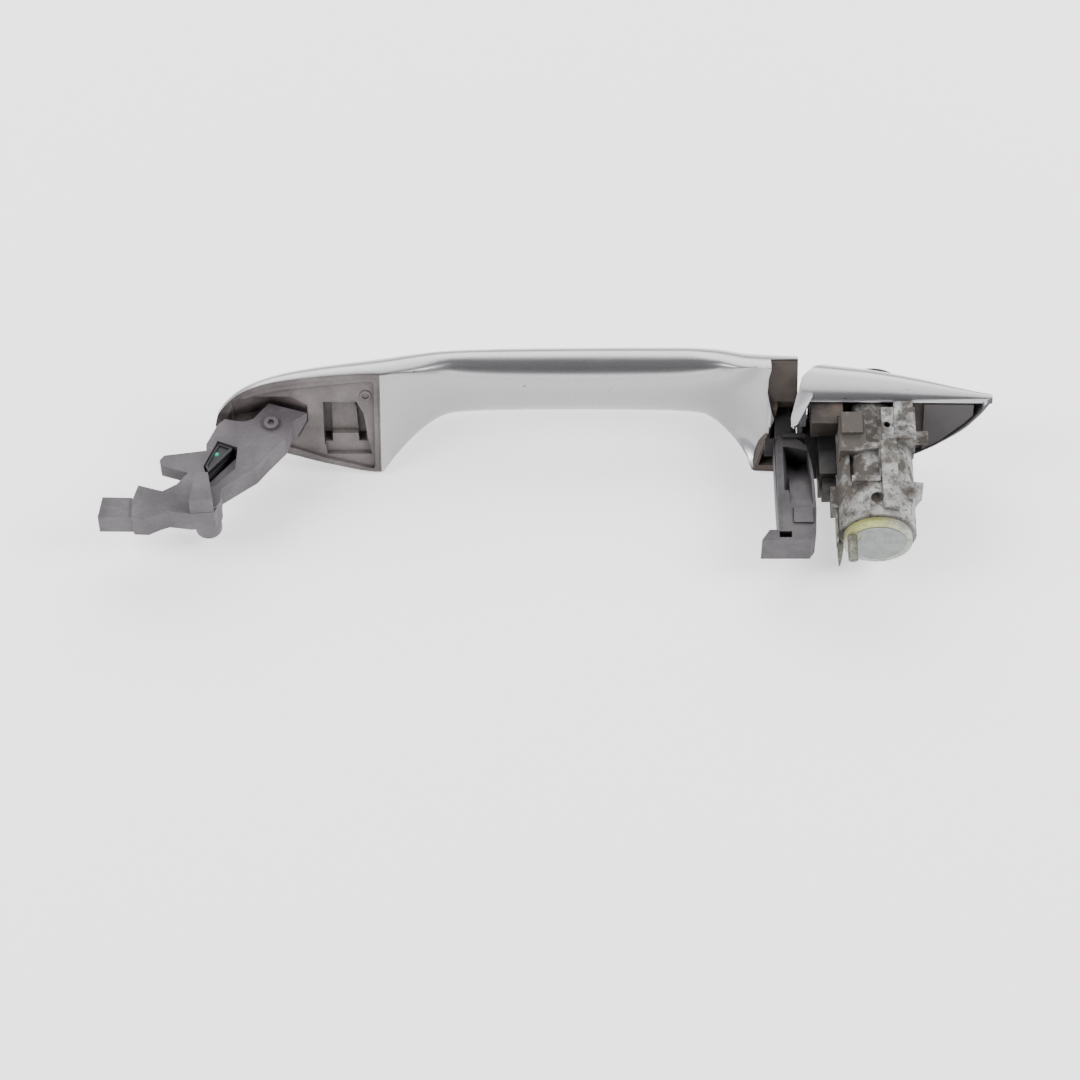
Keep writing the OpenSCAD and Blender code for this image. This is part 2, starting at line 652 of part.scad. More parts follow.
module drive_cap() {
    color(yellow_zinc) difference() {
        along_y(-15.4, -12.85) circle(r = 10.8);
        along_y(-20, 0) circle(r = 4 + 0.02);
        // recess of the end disc
        along_y(-16, -13.9) circle(r = 9);
        // seat of the crank pin
        translate([crank_at[0], -20, crank_at[1]]) rotate([-90, 0, 0])
            cylinder(r = crank_root_r + 0.02, h = 8);
    }
    // solid boss round the crank pin
    color(yellow_zinc) difference() {
        intersection() {
            translate([crank_at[0], -15.4, crank_at[1]]) rotate([-90, 0, 0]) cylinder(r = 2.7, h = 2);
            along_y(-16, 0) circle(r = 10.8);
        }
        translate([crank_at[0], -20, crank_at[1]]) rotate([-90, 0, 0])
            cylinder(r = crank_root_r + 0.02, h = 8);
    }
}

module retaining_ring() {
    color(steel) along_y(-14.36, -13.94) difference() {
        circle(r = 5.6);
        circle(r = 3.5);
        translate([2, -0.8]) square([5, 1.6]);
    }
}

module end_disc() {
    color([0.55, 0.60, 0.62]) difference() {
        along_y(-15.6, -15.02) circle(r = 8.95);
        translate([crank_at[0], -20, crank_at[1]]) rotate([-90, 0, 0]) cylinder(r = 2.75, h = 8);
    }
}

module crank_pin() {
    color(steel) translate([crank_at[0], -15.4 - crank_l, crank_at[1]]) rotate([-90, 0, 0]) {
        cylinder(r = crank_r, h = crank_l);
        cylinder(r = crank_root_r, h = crank_l + 2.4);
    }
}

// ---- the shutter behind the keyhole ----

shutter_at = [face_y - 1.6, lock_z + keyway[1] / 2 + 0.2];      // Y and Z of the shutter's pin
shutter_pin_l = 6.4;            // length of the shutter's pin

module key_shutter() {
    color(steel) difference() {
        union() {
            translate([lock_x - 0.6, shutter_at[0], shutter_at[1]]) rotate([0, 90, 0])
                cylinder(r = 0.75, h = 1.7);
            translate([lock_x - 1.1, shutter_at[0] + 0.05, lock_z - 3.9])
                cube([2.2, 0.6, keyway[1] / 2 + 3.9]);
        }
        translate([lock_x - 5, shutter_at[0], shutter_at[1]]) rotate([0, 90, 0]) cylinder(r = 0.45, h = 10);
    }
}

module shutter_pin() {
    color(steel) translate([lock_x - shutter_pin_l / 2, shutter_at[0], shutter_at[1]]) rotate([0, 90, 0])
        cylinder(r = 0.4, h = shutter_pin_l);
}

module shutter_spring() {
    color(steel) translate([lock_x - 1.9, shutter_at[0], shutter_at[1]]) rotate([0, 90, 0]) difference() {
        cylinder(r = 0.7, h = 0.7);
        cylinder(r = 0.45, h = 2, center = true);
    }
}

handle_bow();
front_foot();
pivot_arm();
arm_insert();
arm_screw();
rear_foot();
pull_leg();
leg_bumper();
leg_screw();
cap_cover();
cap_carrier();
carrier_clip();
lock_housing();
spring_blade();
front_seal();
return_spring();
lock_plug();
plug_face();
wafers();
wafer_springs();
drive_cap();
retaining_ring();
end_disc();
crank_pin();
key_shutter();
shutter_pin();
shutter_spring();
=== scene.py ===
"""Looks of the car door handle: painted bow and tail cap, moulded plastics and the dirty zinc lock."""

import math

import bmesh
import bpy
from mathutils import Euler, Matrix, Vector


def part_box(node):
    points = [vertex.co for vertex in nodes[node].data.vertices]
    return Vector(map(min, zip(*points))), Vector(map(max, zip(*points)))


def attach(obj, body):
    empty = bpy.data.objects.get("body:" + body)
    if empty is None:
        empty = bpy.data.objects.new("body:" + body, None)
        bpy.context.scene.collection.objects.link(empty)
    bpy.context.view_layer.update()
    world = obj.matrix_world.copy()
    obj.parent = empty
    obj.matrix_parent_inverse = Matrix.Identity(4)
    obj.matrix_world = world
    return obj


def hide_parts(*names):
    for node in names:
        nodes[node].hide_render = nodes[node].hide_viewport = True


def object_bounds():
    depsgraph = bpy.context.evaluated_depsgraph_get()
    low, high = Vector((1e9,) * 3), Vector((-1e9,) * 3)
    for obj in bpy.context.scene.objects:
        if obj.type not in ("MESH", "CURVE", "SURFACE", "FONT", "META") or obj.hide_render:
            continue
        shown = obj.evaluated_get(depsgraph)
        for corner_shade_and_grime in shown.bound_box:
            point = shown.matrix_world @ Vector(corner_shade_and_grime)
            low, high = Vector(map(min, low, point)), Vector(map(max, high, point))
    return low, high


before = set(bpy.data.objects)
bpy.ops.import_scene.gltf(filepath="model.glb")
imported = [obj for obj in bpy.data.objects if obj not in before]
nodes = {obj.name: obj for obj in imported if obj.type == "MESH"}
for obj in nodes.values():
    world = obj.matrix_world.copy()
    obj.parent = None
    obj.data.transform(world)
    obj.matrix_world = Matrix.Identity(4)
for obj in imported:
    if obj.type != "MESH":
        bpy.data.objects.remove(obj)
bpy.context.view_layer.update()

MM = 0.001


# ---------------------------------------------------------------- material helpers

def new_material(name):
    material = bpy.data.materials.new(name)
    material.use_nodes = True
    tree = material.node_tree
    return material, tree, tree.nodes["Principled BSDF"]


def add_node(tree, kind, inputs=None, **settings):
    """A shader node with its properties and its unlinked sockets set."""
    node = tree.nodes.new(kind)
    for key, value in settings.items():
        setattr(node, key, value)
    for key, value in (inputs or {}).items():
        node.inputs[key].default_value = value
    return node


def rgba(colour):
    return (*colour, 1.0)


def object_noise(tree, scale, detail=3.0, roughness=0.55, stretch=None, seed=0.0):
    """Noise in the row frame, so its scale is in cells per metre."""
    coords = add_node(tree, "ShaderNodeTexCoord")
    mapping = add_node(tree, "ShaderNodeMapping")
    mapping.inputs["Location"].default_value = (seed, 0.37 * seed, 0.71 * seed)
    if stretch:
        mapping.inputs["Scale"].default_value = stretch
    noise = add_node(tree, "ShaderNodeTexNoise", {"Scale": scale, "Detail": detail, "Roughness": roughness})
    tree.links.new(coords.outputs["Object"], mapping.inputs["Vector"])
    tree.links.new(mapping.outputs["Vector"], noise.inputs["Vector"])
    return noise.outputs["Fac"]


def ramp(tree, factor, stops):
    """Colour ramp through (position, colour) stops."""
    node = add_node(tree, "ShaderNodeValToRGB")
    elements = node.color_ramp.elements
    while len(elements) < len(stops):
        elements.new(0.5)
    for element, (position, colour) in zip(elements, stops):
        element.position = position
        element.color = rgba(colour)
    tree.links.new(factor, node.inputs["Fac"])
    return node.outputs["Color"]


def spread(tree, factor, low, high, to_low=0.0, to_high=1.0):
    """A value range mapped on to another, and clamped."""
    node = add_node(tree, "ShaderNodeMapRange",
                    {"From Min": low, "From Max": high, "To Min": to_low, "To Max": to_high})
    tree.links.new(factor, node.inputs["Value"])
    return node.outputs["Result"]


def blend_colours(tree, factor, first, second):
    node = add_node(tree, "ShaderNodeMix", data_type="RGBA", blend_type="MIX")
    for socket, value in ((node.inputs[0], factor), (node.inputs[6], first), (node.inputs[7], second)):
        if isinstance(value, bpy.types.NodeSocket):
            tree.links.new(value, socket)
        else:
            socket.default_value = value if isinstance(value, float) else rgba(value)
    return node.outputs[2]


def math_node(tree, operation, first, second=0.0):
    node = add_node(tree, "ShaderNodeMath", operation=operation)
    for socket, value in zip(node.inputs, (first, second)):
        if isinstance(value, bpy.types.NodeSocket):
            tree.links.new(value, socket)
        else:
            socket.default_value = value
    return node.outputs[0]


def along(tree, axis, low, high):
    """0 below a level of the row frame, 1 above another one."""
    coords = add_node(tree, "ShaderNodeTexCoord")
    split = add_node(tree, "ShaderNodeSeparateXYZ")
    tree.links.new(coords.outputs["Object"], split.inputs[0])
    return spread(tree, split.outputs[axis], low * MM, high * MM)


def occlusion_shade(tree, distance, low=0.35, high=0.95):
    """1 in corners and recesses where ambient occlusion puts shade, 0 on open faces: the mask for painted
    shade.
    """
    shade = add_node(tree, "ShaderNodeAmbientOcclusion", {"Distance": distance}, samples=8)
    return spread(tree, shade.outputs["AO"], low, high, 1.0, 0.0)


def bump(tree, shader, heights):
    """Bump from (factor, strength, distance) layers, one on top of the other."""
    last = None
    for factor, strength, distance in heights:
        node = add_node(tree, "ShaderNodeBump", {"Strength": strength, "Distance": distance})
        tree.links.new(factor, node.inputs["Height"])
        if last is not None:
            tree.links.new(last, node.inputs["Normal"])
        last = node.outputs["Normal"]
    tree.links.new(last, shader.inputs["Normal"])


# ---------------------------------------------------------------- materials

def paint_material():
    """Metallic silver paint: fine flakes under a clear coat, faint dust and small stone chips."""
    material, tree, shader = new_material("silver_paint")
    flakes = object_noise(tree, 5200.0, 1.0)
    clouds = object_noise(tree, 28.0, 3.0, seed=2.0)
    chips = object_noise(tree, 420.0, 2.0, 0.5, seed=5.0)
    base = ramp(tree, flakes, [(0.36, (0.270, 0.266, 0.278)), (0.62, (0.375, 0.370, 0.386))])
    clouded = blend_colours(tree, spread(tree, clouds, 0.35, 0.75, 0.0, 0.22), base, (0.31, 0.303, 0.30))
    chip_mask = spread(tree, chips, 0.755, 0.775)
    colour = blend_colours(tree, chip_mask, clouded, (0.18, 0.17, 0.16))
    tree.links.new(colour, shader.inputs["Base Color"])
    tree.links.new(spread(tree, clouds, 0.3, 0.8, 0.27, 0.36), shader.inputs["Roughness"])
    shader.inputs["Metallic"].default_value = 0.85
    shader.inputs["Coat Weight"].default_value = 0.8
    shader.inputs["Coat Roughness"].default_value = 0.06
    bump(tree, shader, [(clouds, 0.04, 0.0006), (flakes, 0.03, 0.00005)])
    return material


def plastic_material(name, colour, worn, grime_and_shade, rough=0.55, grain=1500.0, dirt_and_shade=0.5, seed=0.0, zone=None):
    """Moulded plastic: fine grain, uneven tone, paler rubbed areas, and grime with painted shade darkening
    the corners and recesses.

    A zone (axis, low, high, colour) tints everything beyond a level of the row frame.
    """
    material, tree, shader = new_material(name)
    texture = object_noise(tree, grain, 2.0, seed=seed)
    clouds = object_noise(tree, 75.0, 4.0, seed=seed + 1.0)
    streaks = object_noise(tree, 160.0, 4.0, 0.6, stretch=(1.0, 0.35, 1.0), seed=seed + 3.0)
    scuffs = object_noise(tree, 420.0, 3.0, 0.7, stretch=(0.5, 1.0, 0.8), seed=seed + 5.0)
    toned = blend_colours(tree, spread(tree, clouds, 0.38, 0.62), colour, worn)
    scuff_mask = spread(tree, scuffs, 0.57, 0.70, 0.0, 0.25)
    toned = blend_colours(tree, scuff_mask, toned, tuple(1.5 * c for c in worn))
    grained = blend_colours(tree, spread(tree, texture, 0.3, 0.7, 0.0, 0.16), toned, grime_and_shade)
    # Painted shade with grime: corners and recesses that ambient occlusion finds take the dark grime colour,
    # broken up by streaks.
    corner_shade_and_grime = math_node(tree, "MULTIPLY", occlusion_shade(tree, 0.005), spread(tree, streaks, 0.25, 0.7, 0.45, 1.0))
    colour_out = blend_colours(tree, math_node(tree, "MULTIPLY", corner_shade_and_grime, dirt_and_shade), grained, grime_and_shade)
    roughness = spread(tree, streaks, 0.3, 0.75, rough - 0.06, rough + 0.14)
    if zone:
        axis, low, high, tint = zone
        mask = math_node(tree, "MULTIPLY", along(tree, axis, low, high),
                         spread(tree, clouds, 0.2, 0.6, 0.6, 1.0))
        colour_out = blend_colours(tree, mask, colour_out, tint)
        roughness = math_node(tree, "ADD", roughness, spread(tree, mask, 0.0, 1.0, 0.0, 0.22))
    shader.inputs["Specular IOR Level"].default_value = 0.20 if zone else 0.34
    tree.links.new(colour_out, shader.inputs["Base Color"])
    tree.links.new(roughness, shader.inputs["Roughness"])
    bump(tree, shader, [(clouds, 0.06, 0.0005), (scuffs, 0.10, 0.0002), (texture, 0.22, 0.00010)])
    return material


def metal_material(name, colour, dark, dirt_and_shade_colour, rough=0.42, dirt_and_shade=0.6, cover=(0.50, 0.66), metallic=0.8,
                   seed=0.0, patch_scale=95.0, zones=(), tint_colour=None, tint_zones=()):
    """Cast or plated metal: mottled oxide, pitting, dried dirt in patches, and a dark crust in the corners
    and recesses that is painted shade as well as dirt.

    Zones (axis, low, high) are levels of the row frame beyond which the dirt lies thicker; the tint
    covers what lies beyond all of its zones.
    """
    material, tree, shader = new_material(name)
    mottle = object_noise(tree, 260.0, 5.0, 0.6, seed=seed)
    patches = object_noise(tree, patch_scale, 5.0, 0.65, seed=seed + 4.0)
    pits = object_noise(tree, 900.0, 3.0, 0.6, seed=seed + 7.0)
    tone = ramp(tree, mottle, [(0.32, dark), (0.60, colour)])
    if tint_colour:
        tint = 1.0
        for axis, level_low, level_high in tint_zones:
            tint = math_node(tree, "MULTIPLY", along(tree, axis, level_low, level_high), tint)
        tone = blend_colours(tree, tint, tone, tint_colour)
    # Painted shade with dirt: corners and recesses that ambient occlusion finds take the dark crust colour.
    corner_shade_and_grime = occlusion_shade(tree, 0.004, 0.30, 0.90)
    spots = spread(tree, pits, 0.57, 0.62, 0.0, 0.85)
    for axis, level_low, level_high in zones:
        push = math_node(tree, "MULTIPLY", along(tree, axis, level_low, level_high), 0.105)
        patches = math_node(tree, "ADD", patches, push)
    patch_mask = spread(tree, patches, cover[0], cover[1])
    mask = math_node(tree, "MAXIMUM", math_node(tree, "MULTIPLY", patch_mask, dirt_and_shade),
                     math_node(tree, "MULTIPLY", corner_shade_and_grime, dirt_and_shade * 0.8))
    mask = math_node(tree, "MAXIMUM", mask, math_node(tree, "MULTIPLY", spots, dirt_and_shade))
    crust_and_shade = blend_colours(tree, spread(tree, mottle, 0.38, 0.62), dirt_and_shade_colour,
                          tuple(0.4 * c for c in dirt_and_shade_colour))
    tree.links.new(blend_colours(tree, mask, tone, crust_and_shade), shader.inputs["Base Color"])
    tree.links.new(math_node(tree, "MULTIPLY", spread(tree, mask, 0.0, 1.0, 1.0, 0.25), metallic),
                   shader.inputs["Metallic"])
    tree.links.new(spread(tree, mask, 0.0, 1.0, rough, 0.85), shader.inputs["Roughness"])
    bump(tree, shader, [(mottle, 0.10, 0.0004), (pits, 0.22, 0.00018)])
    return material


def rubber_material():
    material, tree, shader = new_material("seal_rubber")
    grain = object_noise(tree, 1800.0, 2.0)
    dust = object_noise(tree, 120.0, 4.0, seed=3.0)
    tree.links.new(blend_colours(tree, spread(tree, dust, 0.4, 0.7, 0.0, 0.5), (0.018, 0.018, 0.018),
                                 (0.07, 0.067, 0.062)), shader.inputs["Base Color"])
    shader.inputs["Roughness"].default_value = 0.72
    bump(tree, shader, [(grain, 0.15, 0.0001)])
    return material


PAINT = paint_material()
GREY = plastic_material(
    "grey_arm_plastic", (0.078, 0.070, 0.077), (0.120, 0.109, 0.118),
    (0.026, 0.022, 0.024), dirt_and_shade=0.6, seed=1.0)
# The near-black tint beyond Y 25.5 is painted shade: the leg's root deep in the rear foot's cavity.
LEG = plastic_material(
    "grey_leg_plastic", (0.058, 0.054, 0.060), (0.100, 0.093, 0.098),
    (0.014, 0.013, 0.013), rough=0.50, dirt_and_shade=0.9, seed=6.0, zone=(1, 12.0, 25.5, (0.010, 0.009, 0.009)))
BROWN = plastic_material(
    "unpainted_foot_plastic", (0.090, 0.077, 0.076), (0.160, 0.140, 0.138),
    (0.024, 0.018, 0.016), rough=0.42, dirt_and_shade=0.9, seed=2.0)
# Darker below Z 12.5 and lighter brown above it: the near-black below is painted shade of the rear foot's
# deep cavity.
TONGUE = plastic_material(
    "rear_foot_plastic", (0.026, 0.022, 0.021), (0.085, 0.068, 0.058),
    (0.010, 0.008, 0.007), rough=0.55, dirt_and_shade=0.9, seed=7.0, zone=(2, 5.0, 12.5, (0.078, 0.066, 0.060)))
DARK = plastic_material(
    "dark_carrier_plastic", (0.034, 0.028, 0.026), (0.090, 0.068, 0.056),
    (0.010, 0.008, 0.007), rough=0.60, dirt_and_shade=0.8, seed=3.0, zone=(0, 220.0, 230.0, (0.078, 0.073, 0.077)))
INSERT = plastic_material(
    "insert_plastic", (0.026, 0.026, 0.029), (0.052, 0.050, 0.054),
    (0.010, 0.010, 0.010), rough=0.50, dirt_and_shade=0.6, seed=8.0)
SHELL = plastic_material(
    "cap_inside_plastic", (0.075, 0.074, 0.082), (0.120, 0.116, 0.124),
    (0.030, 0.027, 0.026), rough=0.55, dirt_and_shade=0.7, seed=9.0)
BLACK = plastic_material(
    "black_clip_plastic", (0.014, 0.014, 0.015), (0.050, 0.042, 0.036),
    (0.005, 0.005, 0.005), rough=0.50, dirt_and_shade=0.7, seed=4.0)
ZINC = metal_material(
    "cast_zinc", (0.31, 0.31, 0.305), (0.17, 0.165, 0.155),
    (0.052, 0.039, 0.029), rough=0.44, dirt_and_shade=0.88, cover=(0.53, 0.68), metallic=0.4, seed=1.0,
    patch_scale=190.0, zones=((1, -8.0, 8.0), (0, 214.0, 201.0)))
YELLOW = metal_material(
    "yellow_passivated_zinc", (0.37, 0.38, 0.34), (0.27, 0.28, 0.24),
    (0.13, 0.12, 0.06), rough=0.40, dirt_and_shade=0.5, cover=(0.54, 0.74), metallic=0.4, seed=2.0,
    patch_scale=220.0, tint_colour=(0.37, 0.38, 0.14), tint_zones=((2, 1.0, 10.0), (0, 218.0, 209.0)))
DISC = metal_material(
    "end_disc_metal", (0.225, 0.238, 0.236), (0.165, 0.176, 0.170),
    (0.11, 0.115, 0.08), rough=0.40, dirt_and_shade=0.3, cover=(0.58, 0.75), metallic=0.5, seed=3.0)
STEEL = metal_material(
    "plain_steel", (0.52, 0.51, 0.46), (0.32, 0.31, 0.28),
    (0.12, 0.09, 0.06), rough=0.36, dirt_and_shade=0.6, cover=(0.52, 0.66), metallic=0.85, seed=4.0)
DIRTY_STEEL = metal_material(
    "dirty_steel", (0.24, 0.245, 0.21), (0.13, 0.13, 0.105),
    (0.055, 0.047, 0.028), rough=0.45, dirt_and_shade=0.7, cover=(0.46, 0.66), metallic=0.45, seed=6.0,
    patch_scale=320.0)
BRASS = metal_material(
    "plug_brass", (0.62, 0.50, 0.26), (0.48, 0.38, 0.20),
    (0.20, 0.14, 0.07), rough=0.34, dirt_and_shade=0.3, cover=(0.60, 0.75), metallic=0.95, seed=5.0)
RUBBER = rubber_material()
GREEN = plastic_material(
    "green_paint_dot", (0.010, 0.300, 0.190), (0.030, 0.400, 0.260),
    (0.010, 0.120, 0.080), rough=0.35, dirt_and_shade=0.3, seed=10.0)

LOOKS = {
    "front_foot": BROWN, "pivot_arm": GREY, "arm_insert": INSERT, "arm_screw": GREY, "rear_foot": TONGUE,
    "pull_leg": LEG, "leg_bumper": LEG, "leg_screw": STEEL, "cap_carrier": DARK, "carrier_clip": BLACK,
    "lock_housing": ZINC, "spring_blade": DIRTY_STEEL, "front_seal": RUBBER, "return_spring": STEEL,
    "lock_plug": BRASS, "plug_face": STEEL, "wafers": BRASS, "wafer_springs": STEEL, "drive_cap": YELLOW,
    "retaining_ring": STEEL, "end_disc": DISC, "crank_pin": DIRTY_STEEL, "key_shutter": STEEL,
    "shutter_pin": STEEL, "shutter_spring": STEEL, "handle_bow": PAINT, "cap_cover": PAINT,
}


def dress(obj, material):
    obj.data.materials.clear()
    obj.data.materials.append(material)


def soften(obj, width, segments=2, angle=35):
    """Small rounded edges that catch the light."""
    bevel = obj.modifiers.new("edges", "BEVEL")
    bevel.width = width
    bevel.segments = segments
    bevel.limit_method = "ANGLE"
    bevel.angle_limit = math.radians(angle)
    bevel.harden_normals = False
    bevel.use_clamp_overlap = True


def smooth_shade(mesh, angle=35):
    for polygon in mesh.polygons:
        polygon.use_smooth = True
    mesh.set_sharp_from_angle(angle=math.radians(angle))


EDGES = {"pivot_arm": 0.45, "pull_leg": 0.5, "front_foot": 0.3, "rear_foot": 0.3, "cap_carrier": 0.25,
         "carrier_clip": 0.35, "lock_housing": 0.35, "drive_cap": 0.2, "end_disc": 0.15, "crank_pin": 0.3,
         "leg_bumper": 0.25, "arm_insert": 0.15, "arm_screw": 0.15, "spring_blade": 0.12, "plug_face": 0.15}

for name, material in LOOKS.items():
    dress(nodes[name], material)
    smooth_shade(nodes[name].data)
    if name in EDGES:
        soften(nodes[name], EDGES[name] * MM)


# ---------------------------------------------------------------- lofted painted shells

def knot_slope(table, i):
    a, b = max(i - 1, 0), min(i + 1, len(table) - 1)
    return (table[b][1] - table[a][1]) / (table[b][0] - table[a][0])


def curve(table, x):
    """Smooth curve through the [x, value] knots of a table, in millimetres."""
    i = 0
    while i < len(table) - 2 and x > table[i + 1][0]:
        i += 1
    h = table[i + 1][0] - table[i][0]
    s = min(max((x - table[i][0]) / h, 0.0), 1.0)
    return ((1 + 2 * s) * (1 - s) ** 2 * table[i][1] + s * (1 - s) ** 2 * h * knot_slope(table, i)
            + s * s * (3 - 2 * s) * table[i + 1][1] + s * s * (s - 1) * h * knot_slope(table, i + 1))


def signed_pow(value, power):
    return math.copysign(abs(value) ** power, value)


def section_point(x, a, top, bottom, crown, widest, floor_y, slope, dome_n, base_n):
    """One point of a section: a dome outward of the widest level, a squarer base inward of it."""
    n = dome_n if math.sin(a) >= 0 else base_n
    z = (top - bottom) / 2 + (top + bottom) / 2 * signed_pow(math.cos(a), 2 / n)
    f = abs(math.sin(a)) ** (2 / n)
    if math.sin(a) >= 0:
        y = widest + (crown - widest) * f
    else:
        y = widest - (widest - floor_y - slope * z) * f
    return Vector((x, y, z)) * MM


GRIP_H, GRIP_IN, GRIP_OUT, GRIP_Y = 25.0, 41.6, 56.4, 49.0
FRONT_X, REAR_X, RIM_Y, RIM_SLOPE = 1.5, 186.5, 31.0, 0.463
BOW_DOME_N, BOW_BASE_N, BOW_BASE_GAIN = 2.5, 2.4, 11.6
BOW_TOP = [(FRONT_X, 0.3), (2.6, 5), (6, 8.8), (11.5, 11.8), (19, 14), (35, 16), (54, 16.8),
           (73, GRIP_H / 2 + 1.4), (90, GRIP_H / 2), (140, GRIP_H / 2), (158, 13.6), (172, 16),
           (REAR_X, 16.8)]
BOW_BOTTOM = [(FRONT_X, 0.3), (4, 3), (9, 6), (14, 7.8), (25, 10.8), (38, 14.4), (54, 17.2),
              (73, GRIP_H / 2 + 1.4), (90, GRIP_H / 2), (140, GRIP_H / 2), (158, 13.8), (171, 16.6),
              (REAR_X, 17.4)]
BOW_CROWN = [(FRONT_X, 32.2), (4, 35.8), (9, 39.6), (20, 43.6), (30, 45.9), (42, 48), (54, 50.1),
             (62, 51.9), (73, 54.2), (90, 55.8), (115, GRIP_OUT), (145, GRIP_OUT), (160, 55.6),
             (171, 53.2), (REAR_X, 51.5)]
BOW_WIDEST = [(FRONT_X, 31.3), (9, 35.4), (20, 38), (35, 39.6), (54, 41.2), (73, 47.2), (90, GRIP_Y),
              (148, GRIP_Y), (160, 47), (171, 42.6), (REAR_X, 41.5)]
FRONT_FILLET, REAR_FILLET, FILLET_LEAN, LEAN_TOP = (54.5, 77.5), (160.0, 177.4), 0.35, 3.0


def foot_share(x, z):
    """0 in the grip, 1 where the inner side has come down to a foot's rim."""
    if x < 100:
        share = (FRONT_FILLET[1] - x) / (FRONT_FILLET[1] - FRONT_FILLET[0])
    else:
        share = (x - FILLET_LEAN * min(z, LEAN_TOP) - REAR_FILLET[0]) / (REAR_FILLET[1] - REAR_FILLET[0])
    return min(max(share, 0.0), 1.0)


def foot_drop(x, t):
    """How far the inner side has dropped to the rim: a near-straight ramp in front, an arc at the rear."""
    return t * t if x < 100 else 1 - math.sqrt(1 - t * t)


def bow_ring(x, count):
    ring = []
    top, bottom = curve(BOW_TOP, x), curve(BOW_BOTTOM, x)
    for j in range(count):
        a = 2 * math.pi * j / count
        t = foot_share(x, top * math.cos(a))
        floor_y = GRIP_IN - (GRIP_IN - RIM_Y) * foot_drop(x, t)
        ring.append(section_point(x, a, top, bottom, curve(BOW_CROWN, x), curve(BOW_WIDEST, x),
                                  floor_y, RIM_SLOPE * t * t, BOW_DOME_N, BOW_BASE_N + BOW_BASE_GAIN * t * t))
    return ring


CAP_TIP, CAP_TOP, CAP_SLOPE, CAP_WALL = 247.4, 15.0, 0.4, 1.6
CAP_DOME_N, CAP_BASE_N = 2.6, 9
LOCK_X, LOCK_Z, KEYHOLE_R = 210.0, 3.0, 9
CAP_RIM = RIM_Y - CAP_SLOPE * CAP_TOP
CAP_BOTTOM = [(187, 17.2), (194, 15.8), (205, 13), (215, 10.2), (225, 5.8), (231, 2.4), (239, -3.4),
              (244, -9), (CAP_TIP - 1, -12.6), (CAP_TIP, -CAP_TOP + 0.6)]
CAP_CROWN = [(187, 50.4), (193, 49.2), (202, 47.6), (211, 45.8), (225, 41.8), (236, 37.6), (CAP_TIP, 33)]
CAP_WIDEST = [(187, 40.6), (200, 39.4), (211, 38.2), (225, 35.6), (236, 33.6), (CAP_TIP, 31.6)]
CAP_END = [(180, -5), (187.2, -5), (187.2, 38), (188.2, 40.3), (191.2, 43.6), (195.4, 46.6), (199.5, 49.5),
           (199.5, 65), (180, 65)]
CAP_LOBE = [(187.6, 39.6), (183.6, 24), (183.6, 21.4), (184.4, 20.4), (185.5, 21.2), (190.6, 31.9),
            (191.4, 39.6)]


def cap_ring(x, inset, roof, count):
    bottom = max(curve(CAP_BOTTOM, x) - inset, inset + 2 - CAP_TOP)
    crown, widest = curve(CAP_CROWN, x) - roof, curve(CAP_WIDEST, x) - roof / 2
    rim = CAP_RIM - (6 if inset > 0 else 0)
    return [section_point(x, 2 * math.pi * j / count, CAP_TOP - inset, bottom, crown, widest, rim,
                          CAP_SLOPE, CAP_DOME_N, CAP_BASE_N)
            for j in range(count)]


def mesh_object(name, build):
    """An object whose mesh the build function draws into a bmesh, with normals facing out."""
    bm = bmesh.new()
    build(bm)
    bmesh.ops.recalc_face_normals(bm, faces=bm.faces)
    mesh = bpy.data.meshes.new(name)
    bm.to_mesh(mesh)
    bm.free()
    obj = bpy.data.objects.new(name, mesh)
    bpy.context.scene.collection.objects.link(obj)
    return obj


def loft(bm, rings):
    """Quads between rings of points, with an end face on the first and the last."""
    rows = [[bm.verts.new(p) for p in ring] for ring in rings]
    count = len(rows[0])
    for low, high in zip(rows, rows[1:]):
        for j in range(count):
            k = (j + 1) % count
            bm.faces.new((low[j], low[k], high[k], high[j]))
    bm.faces.new(rows[0])
    bm.faces.new(rows[-1])


def prism(bm, outline, low, high, axis):
    """A closed outline swept between two levels. axis Y takes (x, z) points, axis Z takes (x, y) points."""
    def place(p, level):
        return Vector((p[0], level, p[1])) * MM if axis == "Y" else Vector((p[0], p[1], level)) * MM
    first = [bm.verts.new(place(p, low)) for p in outline]
    last = [bm.verts.new(place(p, high)) for p in outline]
    bm.faces.new(first)
    bm.faces.new(last)
    for j in range(len(outline)):
        k = (j + 1) % len(outline)
        bm.faces.new((first[j], first[k], last[k], last[j]))


def carve(target, cutter, operation="DIFFERENCE"):
    """Applies a boolean and removes the cutter."""
    modifier = target.modifiers.new("cut", "BOOLEAN")
    modifier.operation = operation
    modifier.solver = "EXACT"
    modifier.object = cutter
    apply_modifiers(target)
    bpy.data.objects.remove(cutter)


def apply_modifiers(obj):
    graph = bpy.context.evaluated_depsgraph_get()
    mesh = bpy.data.meshes.new_from_object(obj.evaluated_get(graph))
    obj.modifiers.clear()
    obj.data = mesh


def hollow(plan, roof):
    """The cutter of a foot's hollow: its plan and its roof profile, crossed."""
    block = mesh_object("hollow_plan", lambda bm: prism(bm, plan, 10, 60, "Y"))
    side = mesh_object("hollow_roof", lambda bm: prism(bm, roof, -30, 30, "Z"))
    carve(block, side, "INTERSECT")
    return block


def spaced(low, high, count):
    return [low + (high - low) * i / count for i in range(count + 1)]


def tint_faces(obj, material, wanted):
    """Gives a second material to the faces whose centre and normal the test picks."""
    obj.data.materials.append(material)
    slot = len(obj.data.materials) - 1
    for polygon in obj.data.polygons:
        if wanted(polygon.center / MM, polygon.normal):
            polygon.material_index = slot


